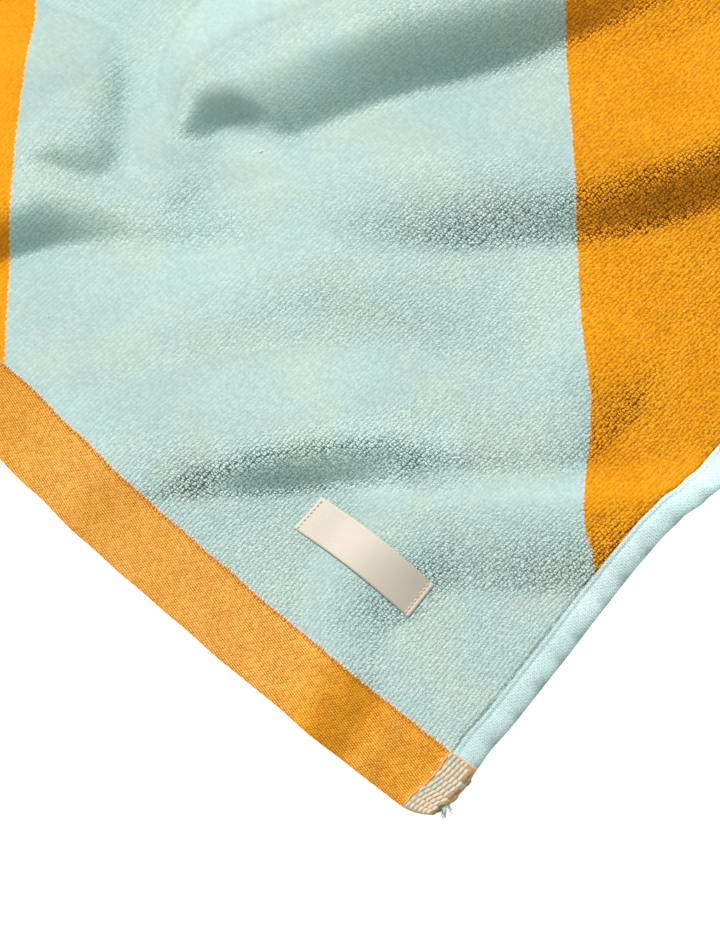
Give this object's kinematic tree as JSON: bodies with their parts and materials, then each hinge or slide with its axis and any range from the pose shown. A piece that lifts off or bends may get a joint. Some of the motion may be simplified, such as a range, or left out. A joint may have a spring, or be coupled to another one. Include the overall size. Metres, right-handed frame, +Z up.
{
  "type": "beach towel",
  "caption": "Terry beach towel lying flat in loose diagonal folds, with flat-woven hems, wide diagonal colour bands and a small blank woven label near one corner.",
  "frame": {"origin": "centre of the bounding box, on the surface that the towel lies on", "axes": "+Z up; +X across the towel, towards the long edge nearest the label; +Y along the towel, away from the short edge nearest the label"},
  "size_m": [0.7074, 0.9993, 0.0285],
  "materials": {
    "terry": "matte looped cotton pile, pale aqua with orange diagonal bands and orange flat-woven end hems",
    "ribbon": "smooth cream woven ribbon"
  },
  "bodies": {
    "root": {"towel": "terry", "label": "ribbon"}
  },
  "joints": []
}
